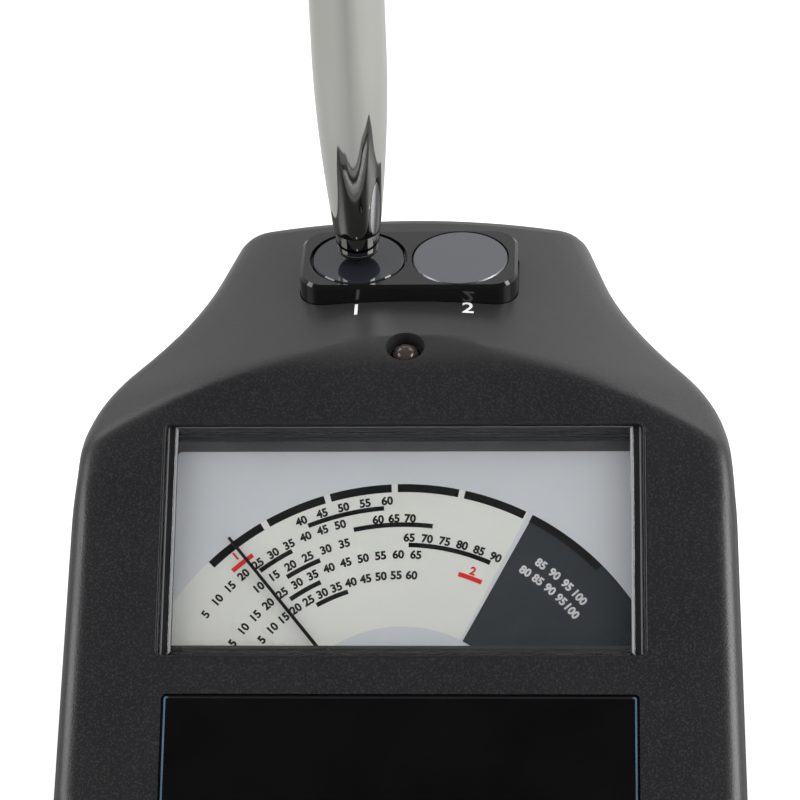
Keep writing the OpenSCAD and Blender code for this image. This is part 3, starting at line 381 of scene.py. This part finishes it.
# plain figures from the built-in letters, as a mesh, joined into a bmesh
# capHeight is that of letters of size 1
figures = {"capHeight": 0.73, "halfThickness": 0.01, "smoothness": 4}


def addFigures(bm, words, height, matrix, weight):
    curve = bpy.data.curves.new("figures", "FONT")
    curve.body = words
    curve.align_x = "CENTER"
    curve.align_y = "CENTER"
    curve.size = height / figures["capHeight"]
    curve.offset = weight
    curve.extrude = figures["halfThickness"]
    curve.resolution_u = figures["smoothness"]
    holder = bpy.data.objects.new("figures", curve)
    bpy.context.scene.collection.objects.link(holder)
    bpy.context.view_layer.update()
    mesh = bpy.data.meshes.new_from_object(holder)
    mesh.transform(matrix)
    bm.from_mesh(mesh)
    bpy.data.meshes.remove(mesh)
    bpy.data.objects.remove(holder)
    bpy.data.curves.remove(curve)


# print on the dial, measured from the needle's pivot; halfGap is in degrees, half the line between the fields
# a bar is radius, first and last angle; a row is radius, first and last angle, first figure, how many
dial = {
    "face": -5.6, "halfWidth": 35.35, "bottom": 6.9,
    "scaleRadius": 42.3, "hubRadius": 19.5, "fieldAngle": 80, "edgeAngle": 27.62, "halfGap": 0.5921,
    "ringWidth": 1.3, "barWidth": 0.74, "figureHeight": 1.3, "weight": 0.07, "figureStep": 5,
    "fieldLevel": 0.004, "barLevel": 0.026, "figureLevel": 0.042, "ink": 0.016,
    "rings": [(-45.3, -31.7), (-30.3, -17.2), (-15.9, -2.7), (-1.4, 11.7), (13.0, 26.6), (28.1, 46.3)],
    "bars": [(38.5, -22.6, -4.6), (35.75, -12.5, 7.2), (32.5, 1.4, 24.3), (35.9, -37.9, -28.6),
             (32.65, -33.2, -23.1), (29.4, -36.0, -25.5), (26.4, -30.0, -18.6)],
    "redBars": [(38.65, -42.9, -37.0), (29.1, 17.0, 24.5)],
    "rows": [(39.6, -23.6, -3.8, 40, 5), (36.7, -6.2, 1.5, 60, 3), (33.6, 1.5, 25.0, 65, 6),
             (37.0, -54.7, -15.4, 5, 10), (33.9, -40.9, -15.6, 10, 6), (30.9, -57.0, 3.6, 5, 13),
             (27.6, -51.0, 2.7, 5, 12)],
    "redRows": [(40.1, -40.2, -40.2, 1, 1), (30.2, 20.8, 20.8, 2, 1)],
    "whiteRows": [(36.2, 35.8, 48.2, 85, 4), (33.9, 33.6, 49.6, 80, 5)],
}
dialFrame = panelFrame @ Matrix.Translation((0, -panel["pivotDown"], dial["face"]))


def trimToPlate(bm):
    for side in (1, -1):
        cutAt(bm, (side * dial["halfWidth"], 0, 0), (side, 0, 0), clear=True)
    cutAt(bm, (0, dial["bottom"], 0), (0, -1, 0), clear=True)


def printField(name, start, end, look):
    bm = bmesh.new()
    arcBand(bm, dial["hubRadius"], dial["scaleRadius"], start, end, dial["fieldLevel"])
    trimToPlate(bm)
    raiseFaces(bm, dial["ink"])
    addPiece(name, bm, look, "housing", dialFrame)


def printBands(name, bands, width, look):
    bm = bmesh.new()
    for radius, start, end in bands:
        arcBand(bm, radius - width / 2, radius + width / 2, start, end, dial["barLevel"])
    raiseFaces(bm, dial["ink"])
    addPiece(name, bm, look, "housing", dialFrame)


def printRows(name, rows, look):
    bm = bmesh.new()
    for radius, start, end, first, count in rows:
        for i in range(count):
            angle = start + (end - start) * i / max(1, count - 1)
            upright = Matrix.Translation((0, radius, dial["figureLevel"]))
            place = Matrix.Rotation(-radians(angle), 4, "Z") @ upright
            addFigures(bm, str(first + dial["figureStep"] * i), dial["figureHeight"], place, dial["weight"])
    addPiece(name, bm, look, "housing", dialFrame)


printField("dialField", -dial["fieldAngle"], dial["edgeAngle"] - dial["halfGap"], "inkBeige")
printField("dialSector", dial["edgeAngle"] + dial["halfGap"], dial["fieldAngle"], "inkSlate")
ringRadius = dial["scaleRadius"] - dial["ringWidth"] / 2
printBands("dialRing", [(ringRadius, a, b) for a, b in dial["rings"]], dial["ringWidth"], "inkBlack")
printBands("dialBars", dial["bars"], dial["barWidth"], "inkBlack")
printBands("dialRedBars", dial["redBars"], dial["barWidth"], "inkRed")
printRows("dialFigures", dial["rows"], "inkBlack")
printRows("dialRedFigures", dial["redRows"], "inkRed")
printRows("dialWhiteFigures", dial["whiteRows"], "inkWhite")
print("dial printed")

# figures on the crowned deck in front of the two discs
deckFigures = {"height": 3.0, "places": [("1", -8.2, 28.15), ("2", 9.6, 28.65)], "weight": 0.05, "lift": 0.05,
               "crownRise": 1.25, "crownRadius": 140}


def crownHeight(x):
    radius = deckFigures["crownRadius"]
    return panel["creaseZ"] + deckFigures["crownRise"] - radius + sqrt(radius ** 2 - x * x)


def numberDiscs():
    bm = bmesh.new()
    for words, x, y in deckFigures["places"]:
        addFigures(bm, words, deckFigures["height"], Matrix.Translation((x, y, 0)), deckFigures["weight"])
    for v in bm.verts:
        v.co.z += crownHeight(v.co.x) + deckFigures["lift"]
    addPiece("deckFigures", bm, "inkWhite", "housing", millimetres)


numberDiscs()
print("deck figures set")

cornerSteps = 4


# a raised frame with rounded corners, its line drawn inwards
def frameRing(bm, width, height, corner, line, level, thickness):
    made = bmesh.ops.create_grid(bm, x_segments=1, y_segments=1, size=0.5)
    bmesh.ops.scale(bm, vec=(width, height, 1), verts=made["verts"])
    bmesh.ops.translate(bm, vec=(0, 0, level), verts=made["verts"])
    roundOff(bm, made["verts"], "VERTICES", corner, cornerSteps)
    middle = bm.faces[:]
    bmesh.ops.inset_region(bm, faces=middle, thickness=line, use_even_offset=True, use_boundary=True)
    bmesh.ops.delete(bm, geom=middle, context="FACES_ONLY")
    raiseFaces(bm, thickness)


# a thin ring along the bare plate's edge, which carries its painted reflection
plateEdge = {"width": 72, "height": 24.6, "down": 53.4, "face": -0.2, "inset": 0.26, "line": 0.28,
             "corner": 0.35, "level": 0.004, "thickness": 0.016}


def edgePlate():
    p = plateEdge
    bm = bmesh.new()
    width, height = p["width"] - 2 * p["inset"], p["height"] - 2 * p["inset"]
    frameRing(bm, width, height, p["corner"], p["line"], p["level"], p["thickness"])
    place = Matrix.Translation((0, -p["down"] - p["height"] / 2, p["face"]))
    addPiece("plateEdge", bm, "plateEdge", "housing", panelFrame @ place)


edgePlate()
print("plate edged")

# clear cover of the meter: a moulded block with rounded edges and a low shoulder at each side, hollow behind,
# with a skirt on three sides; the shoulders are dark satin grey, and the rounded edges at these tilts in
# degrees are pale grey, a painted highlight
cover = {"width": 73.8, "height": 36.8, "middle": 28.7, "face": -0.5, "flangeTop": -2.4, "back": -3.6,
         "flangeHalf": 39.4, "flangeFrom": 9.0, "flangeTo": 74.7, "wall": 1.3, "shoulder": -1.2,
         "edge": 0.55, "edgeSteps": 6, "outerEdge": 0.42, "outerSteps": 3,
         "skirtInset": 0.6, "skirtFoot": -5.3, "highlightAside": (5, 60), "highlightTop": (25, 65),
         "highlightLean": 0.08, "flat": 0.9, "flatTilt": 1, "smoothAngle": 30}


# faces of the cover at one level, within the cover's outline drawn in by a distance
def coverFaces(bm, level, inset):
    halfW, halfH = cover["width"] / 2 - inset, cover["height"] / 2 - inset
    found = []
    for f in bm.faces:
        middle = f.calc_center_median()
        atLevel = abs(middle.z - level) < close and abs(f.normal.z) > cover["flat"]
        if atLevel and abs(middle.x) < halfW and abs(middle.y + cover["middle"]) < halfH:
            found.append(f)
    return found


def drawOut(bm, area, distance):
    grown = bmesh.ops.extrude_face_region(bm, geom=area)
    bmesh.ops.translate(bm, vec=(0, 0, distance), verts=grownPoints(grown))
    bmesh.ops.delete(bm, geom=[f for f in area if f.is_valid], context="FACES")
    bm.normal_update()


# the cover's rounded edges that lean aside or uphill at the listed tilts get pale grey, a painted highlight,
# and its shoulders dark grey
def paintHighlightsAndShoulders(mesh):
    mesh.materials.append(looks["coverPaintedHighlight"])
    mesh.materials.append(looks["coverShoulder"])
    highlightSlot, shoulderSlot = 1, 2
    turned = panelFrame.to_3x3().normalized()
    across, uphill, upright = (turned @ Vector(axis) for axis in ((1, 0, 0), (0, 1, 0), (0, 0, 1)))
    back = panelFrame.inverted()
    for f in mesh.polygons:
        tilt = degrees(acos(max(-1, min(1, f.normal.dot(upright)))))
        leansAside = abs(f.normal.dot(across)) > cover["highlightLean"]
        leansUphill = f.normal.dot(uphill) > cover["highlightLean"]
        if abs((back @ f.center).z - cover["shoulder"]) < close and tilt < cover["flatTilt"]:
            f.material_index = shoulderSlot
        elif leansAside and cover["highlightAside"][0] < tilt < cover["highlightAside"][1]:
            f.material_index = highlightSlot
        elif leansUphill and cover["highlightTop"][0] < tilt < cover["highlightTop"][1]:
            f.material_index = highlightSlot


def meterGlass():
    c = cover
    bm = bmesh.new()
    low = (-c["flangeHalf"], -c["flangeTo"], c["back"])
    high = (c["flangeHalf"], -c["flangeFrom"], c["flangeTop"])
    addBlock(bm, low, high)
    halfW, halfH = c["width"] / 2, c["height"] / 2
    for inset in (0, c["skirtInset"], c["wall"]):
        for side in (-1, 1):
            cutAt(bm, (side * (halfW - inset), 0, 0), (1, 0, 0))
            cutAt(bm, (0, -c["middle"] + side * (halfH - inset), 0), (0, 1, 0))
    bm.normal_update()
    drawOut(bm, coverFaces(bm, c["flangeTop"], 0), c["shoulder"] - c["flangeTop"])
    raised = [f for f in coverFaces(bm, c["shoulder"], 0)
              if abs(f.calc_center_median().x) < halfW - c["wall"]]
    drawOut(bm, raised, c["face"] - c["shoulder"])
    inside = coverFaces(bm, c["back"], c["wall"])
    lowest = -c["middle"] - halfH + c["wall"]
    skirt = [f for f in coverFaces(bm, c["back"], c["skirtInset"])
             if f not in inside and f.calc_center_median().y > lowest]
    drawOut(bm, skirt, c["skirtFoot"] - c["back"])
    drawOut(bm, coverFaces(bm, c["back"], c["wall"]), c["face"] - c["wall"] - c["back"])
    # cuts are cleared only above the flange; the flat rings below could be cleared in more than one way
    raisedPoints = [v for v in bm.verts if v.co.z > c["flangeTop"] + close]
    raisedEdges = [e for e in bm.edges if any(v in raisedPoints for v in e.verts)]
    bmesh.ops.dissolve_limit(bm, angle_limit=radians(c["flatTilt"]), verts=raisedPoints, edges=raisedEdges)
    rim = [e for e in bm.edges if all(abs(v.co.z - c["face"]) < close for v in e.verts)]
    roundOff(bm, rim, "EDGES", c["edge"], c["edgeSteps"])
    outer = [e for e in bm.edges if all(abs(v.co.z - c["shoulder"]) < close for v in e.verts)
             and all(abs(abs(v.co.x) - halfW) < close for v in e.verts)]
    roundOff(bm, outer, "EDGES", c["outerEdge"], c["outerSteps"])
    piece = addPiece("meterGlass", bm, "cover", "housing", panelFrame, c["smoothAngle"])
    paintHighlightsAndShoulders(piece.data)
    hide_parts("meter_cover")


meterGlass()
print("meter glass moulded")

# a dark mask behind the cover's lower wall, and a ledge between the case and the dial's top edge
inner = {"half": 37.0,
         "mask": {"top": 44.8, "bottom": 50.0, "face": -3.62, "back": -3.78},
         "ledge": {"top": 10.8, "bottom": 13.05, "face": -5.7, "back": -6.3}}


def addBar(name, bar, look):
    low = (-inner["half"], -bar["bottom"], bar["back"])
    high = (inner["half"], -bar["top"], bar["face"])
    bm = bmesh.new()
    addBlock(bm, low, high)
    addPiece(name, bm, look, "housing", panelFrame)


addBar("coverMask", inner["mask"], "mask")
addBar("dialLedge", inner["ledge"], "caseInside")
print("meter masked")

# fine rounded lip round the meter opening
lip = {"width": 74.0, "height": 37.0, "middle": 28.7, "line": 0.4, "rise": 0.1, "sunk": 0.02, "corner": 1.2,
       "round": 0.09, "roundSteps": 3, "wallFacing": 0.5, "smoothAngle": 40}


def windowLip():
    bm = bmesh.new()
    frameRing(bm, lip["width"] + 2 * lip["line"], lip["height"] + 2 * lip["line"], lip["corner"], lip["line"],
              -lip["sunk"], lip["rise"] + lip["sunk"])
    bm.normal_update()
    topEdges = [e for e in bm.edges if all(v.co.z > lip["rise"] - close for v in e.verts)
                and len(e.link_faces) == 2 and any(abs(f.normal.z) < lip["wallFacing"] for f in e.link_faces)]
    roundOff(bm, topEdges, "EDGES", lip["round"], lip["roundSteps"])
    place = panelFrame @ Matrix.Translation((0, -lip["middle"], 0))
    addPiece("windowLip", bm, "housing", "housing", place, lip["smoothAngle"])


windowLip()
print("window lip made")

# merged copies of solids, shaded round; the top shell's two shoulders are softened as well
# a skin is its name, the solid, the body, the finish and the record's slot
moulding = {"skins": [("topShellSkin", "top_shell", "housing", "housing", "housing"),
                      ("baseShellSkin", "base_shell", "housing", "housing", "housing"),
                      ("batteryCoverSkin", "battery_cover", "battery_cover", "housing", "housing"),
                      ("discTraySkin", "disc_tray", "housing", "gloss", "gloss_black"),
                      ("glassDiscSkin", "glass_disc", "housing", "glassDisc", "glass_disc"),
                      ("referenceDiscSkin", "reference_disc", "housing", "referenceDisc", "reference_disc"),
                      ("lampDome", "ready_lamp", "housing", "lamp", "lamp"),
                      ("tailCapSkin", "probe_tail", "probe", "soft", "soft_black")],
            "merge": 0.001, "smoothAngle": 32}
shoulders = {"middle": (47.0, 5.5, 58.5), "reach": 13.0, "from": 38.8, "facing": 0.2, "cuts": 2, "passes": 24,
             "drawIn": 0.5, "factor": 0.5}


# points of the shell's outside, outboard of the window
def onShoulder(points, normal, side):
    outboard = all(p.x * side > shoulders["from"] * mm for p in points)
    return outboard and (normal.z > shoulders["facing"] or normal.x * side > shoulders["facing"])


def softenShoulders(bm):
    s = shoulders
    x, y, z = s["middle"]
    bm.normal_update()
    for side in (-1, 1):
        middle = Vector((side * x, y, z)) * mm
        near = [f for f in bm.faces if (f.calc_center_median() - middle).length < s["reach"] * mm
                and onShoulder([v.co for v in f.verts], f.normal, side)]
        edges = [e for e in bm.edges if any(f in near for f in e.link_faces)]
        bmesh.ops.subdivide_edges(bm, edges=edges, cuts=s["cuts"], use_grid_fill=True)
        bm.normal_update()
        for turn in range(s["passes"]):
            reach = s["reach"] * mm * (1 - s["drawIn"] * turn / s["passes"])  # so the softening fades out
            points = [v for v in bm.verts if (v.co - middle).length < reach
                      and onShoulder([v.co], v.normal, side)]
            bmesh.ops.smooth_vert(bm, verts=points, factor=s["factor"], use_axis_x=True, use_axis_y=True,
                                  use_axis_z=True)


def smoothCopy(name, solid, body, look, slotName):
    bm = bmesh.new()
    bm.from_mesh(nodes[solid].data)
    bmesh.ops.remove_doubles(bm, verts=bm.verts, dist=moulding["merge"] * mm)
    if solid == "top_shell":
        softenShoulders(bm)
    mesh = bpy.data.meshes.new(name)
    bm.to_mesh(mesh)
    bm.free()
    mesh.attributes.remove(mesh.attributes["custom_normal"])  # the solid's own flat shading
    shadeRound(mesh, moulding["smoothAngle"])
    piece = placePiece(name, mesh, look, body)
    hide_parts(solid)
    return piece


for skin in moulding["skins"]:
    smoothCopy(*skin)
print("mouldings smoothed")

# the probe's chrome skin, heights from the face of the disc that it stands on
probe = {"x": -8.2, "y": 38.7044, "face": 70.2760, "barrelFoot": 5.9, "endRadius": 3.75, "radius": 5.85,
         "wall": 0.9, "taper": 33, "straight": 73, "power": 0.9, "steps": 60, "edge": 0.1,
         "noseFoot": 1.1, "noseTip": 2.1, "noseShoulder": 3.45, "noseRound": 1.7, "noseTop": 3.65,
         "noseStep": 6, "groove": 0.25, "hole": 0.8, "plug": 2.7, "plugTop": 10.9, "sides": 96,
         "smoothAngle": 30}
probeFrame = millimetres @ Matrix.Translation((probe["x"], probe["y"], probe["face"]))


# a closed outline of radii and heights, turned about the probe's axis in place of a solid
def lathe(name, outline, look, solid):
    bm = bmesh.new()
    points = [bm.verts.new((radius, 0, height)) for radius, height in outline]
    edges = [bm.edges.new(pair) for pair in zip(points, points[1:] + points[:1])]
    bmesh.ops.spin(bm, geom=points + edges, cent=(0, 0, 0), axis=(0, 0, 1), angle=radians(360),
                   steps=probe["sides"], use_merge=True)
    piece = addPiece(name, bm, look, "probe", probeFrame, probe["smoothAngle"])
    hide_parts(solid)


def barrelRadius(share):
    swell = sin(radians(90 * share)) ** probe["power"]
    return probe["endRadius"] + (probe["radius"] - probe["endRadius"]) * swell


def barrelSkin():
    p = probe
    shares = [i / p["steps"] for i in range(1, p["steps"] + 1)]
    outside = [(barrelRadius(share), p["barrelFoot"] + p["taper"] * share) for share in shares]
    inside = [(radius - p["wall"], height) for radius, height in reversed(outside)]
    top = p["barrelFoot"] + p["taper"] + p["straight"]
    foot = [(p["endRadius"] - p["wall"], p["barrelFoot"]), (p["endRadius"] - p["edge"], p["barrelFoot"]),
            (p["endRadius"], p["barrelFoot"] + p["edge"])]
    end = [(p["radius"], top), (p["radius"] - p["wall"], top)]
    lathe("barrelSkin", foot + outside + end + inside, "chrome", "probe_barrel")


def noseSkin():
    p = probe
    swell = p["noseShoulder"] - p["noseTip"]
    turns = [radians(a) for a in range(0, 91, p["noseStep"])]
    rounding = [(p["noseTip"] + swell * sin(a), p["noseFoot"] + p["noseRound"] * (1 - cos(a))) for a in turns]
    grooveFoot = p["barrelFoot"] - p["groove"]
    neck = p["noseTop"] - p["groove"]
    groove = [(p["noseTop"], grooveFoot), (neck, grooveFoot), (neck, p["barrelFoot"])]
    plug = [(p["plug"], p["barrelFoot"]), (p["plug"], p["plugTop"]), (p["hole"], p["plugTop"])]
    lathe("noseSkin", [(p["hole"], p["noseFoot"])] + rounding + groove + plug, "nose", "probe_nose")


# the tip's spring, as a smoothed copy with a mesh of its own
def tipSpring():
    spring = smoothCopy("tipSpringCoil", "tip_spring", "probe", "steel", "steel")
    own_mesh(spring)


barrelSkin()
noseSkin()
tipSpring()
print("probe skinned")

# table and light in metres; polished metal mirrors a greyer table, lighter to the right, with a dark streak
room = {"floorHalf": 3.0, "floorColour": (0.80, 0.80, 0.80), "floorRough": 0.9, "floorGlow": 0.28,
        "mirroredLeft": (0.46, 0.46, 0.46), "mirroredRight": (0.63, 0.63, 0.63), "mirroredAside": 0.35,
        "streak": (0.40, 0.40, 0.40), "streakAt": -0.01, "streakHalf": 0.13, "white": (1, 1, 1, 1),
        "sky": 1.0, "skyTop": 0.56, "overhead": 0.02, "overheadFrom": 0.74, "skyLeft": 0.64, "skyAside": 0.35,
        "skyFront": 0.10, "skyAhead": 0.3, "diffuse": 1.1}


def paleFloor():
    bm = bmesh.new()
    bmesh.ops.create_grid(bm, x_segments=2, y_segments=2, size=room["floorHalf"])
    mesh = bpy.data.meshes.new("floor")
    bm.to_mesh(mesh)
    bm.free()
    material, tree, shader = newMaterial("paleFloor")
    shader.inputs["Roughness"].default_value = room["floorRough"]
    shader.inputs["Emission Color"].default_value = room["white"]
    path = tree.nodes.new("ShaderNodeLightPath")
    across = along(tree, objectPlace(tree), "X")
    aside = spread(tree, across, -room["mirroredAside"], room["mirroredAside"], 0, 1)
    mirrored = mix(tree, aside, room["mirroredLeft"], room["mirroredRight"])
    off = reckon(tree, "ABSOLUTE", reckon(tree, "SUBTRACT", across, room["streakAt"]), 0)
    mirrored = mix(tree, spread(tree, off, 0, room["streakHalf"], 1, 0), mirrored, room["streak"])
    colour = mix(tree, path.outputs["Is Glossy Ray"], room["floorColour"], mirrored)
    feed(tree, colour, shader, "Base Color")
    glow = reckon(tree, "MULTIPLY", path.outputs["Is Camera Ray"], room["floorGlow"])
    feed(tree, glow, shader, "Emission Strength")
    mesh.materials.append(material)
    floor = bpy.data.objects.new("floor", mesh)
    bpy.context.scene.collection.objects.link(floor)


# white to the eye and in reflections near the horizon, dark overhead, even for soft light
def paleWorld():
    world = bpy.data.worlds.new("paleWorld")
    bpy.context.scene.world = world
    world.use_nodes = True
    tree = world.node_tree
    background = tree.nodes["Background"]
    background.inputs["Color"].default_value = room["white"]
    outward = tree.nodes.new("ShaderNodeTexCoord").outputs["Generated"]
    seen = spread(tree, along(tree, outward, "Z"), room["skyTop"], room["overheadFrom"], room["sky"],
                  room["overhead"])
    for axis, reach, shade in (("X", "skyAside", "skyLeft"), ("Y", "skyAhead", "skyFront")):
        shading = spread(tree, along(tree, outward, axis), -room[reach], room[reach], room[shade], 1)
        seen = reckon(tree, "MULTIPLY", seen, shading)
    path = tree.nodes.new("ShaderNodeLightPath")
    seen = reckon(tree, "MAXIMUM", seen, path.outputs["Is Camera Ray"])
    # soft light, through the clear cover as well
    lit = reckon(tree, "MINIMUM", path.outputs["Diffuse Depth"], 1)
    tree.links.new(mix(tree, lit, seen, room["diffuse"], "FLOAT"), background.inputs["Strength"])


# a lamp is its name, place, size and power
lamps = {"aim": (0, 0, 0.05),
         "soft": [("lampRight", (0.78, -0.15, 0.53), 0.45, 5), ("lampLeft", (-0.78, -0.15, 0.53), 0.45, 3),
                  ("lampBackRight", (0.42, 0.50, 0.70), 0.35, 0.8),
                  ("lampBackLeft", (-0.50, 0.50, 0.66), 0.35, 0.8)]}


def softLamp(name, place, size, power):
    light = bpy.data.lights.new(name, "AREA")
    light.shape = "SQUARE"
    light.size = size
    light.energy = power
    lamp = bpy.data.objects.new(name, light)
    lamp.location = place
    lamp.rotation_euler = (Vector(lamps["aim"]) - Vector(place)).to_track_quat("-Z", "Y").to_euler()
    bpy.context.scene.collection.objects.link(lamp)


# angles in radians and the place in millimetres
camera = {"turn": -0.06336, "down": 0.61714, "roll": -0.03943, "lens": 154.36, "sensor": 36, "near": 0.01,
          "place": (26.924, -423.864, 371.101)}


def photoCamera():
    turn, down = camera["turn"], camera["down"]
    forward = Vector((sin(turn) * cos(down), cos(turn) * cos(down), -sin(down)))
    level = Vector((cos(turn), -sin(turn), 0))
    upright = level.cross(forward)
    c, s = cos(camera["roll"]), sin(camera["roll"])
    right = c * level + s * upright
    up = -s * level + c * upright
    data = bpy.data.cameras.new("photoCamera")
    data.lens = camera["lens"]
    data.sensor_width = camera["sensor"]
    data.clip_start = camera["near"]
    eye = bpy.data.objects.new("photoCamera", data)
    turned = Matrix((right, up, -forward)).transposed().to_4x4()
    eye.matrix_world = Matrix.Translation(Vector(camera["place"]) * mm) @ turned
    bpy.context.scene.collection.objects.link(eye)
    bpy.context.scene.camera = eye


paleFloor()
paleWorld()
for lamp in lamps["soft"]:
    softLamp(*lamp)
photoCamera()
bpy.context.scene.view_settings.view_transform = "Standard"
print("table, lights and camera set")
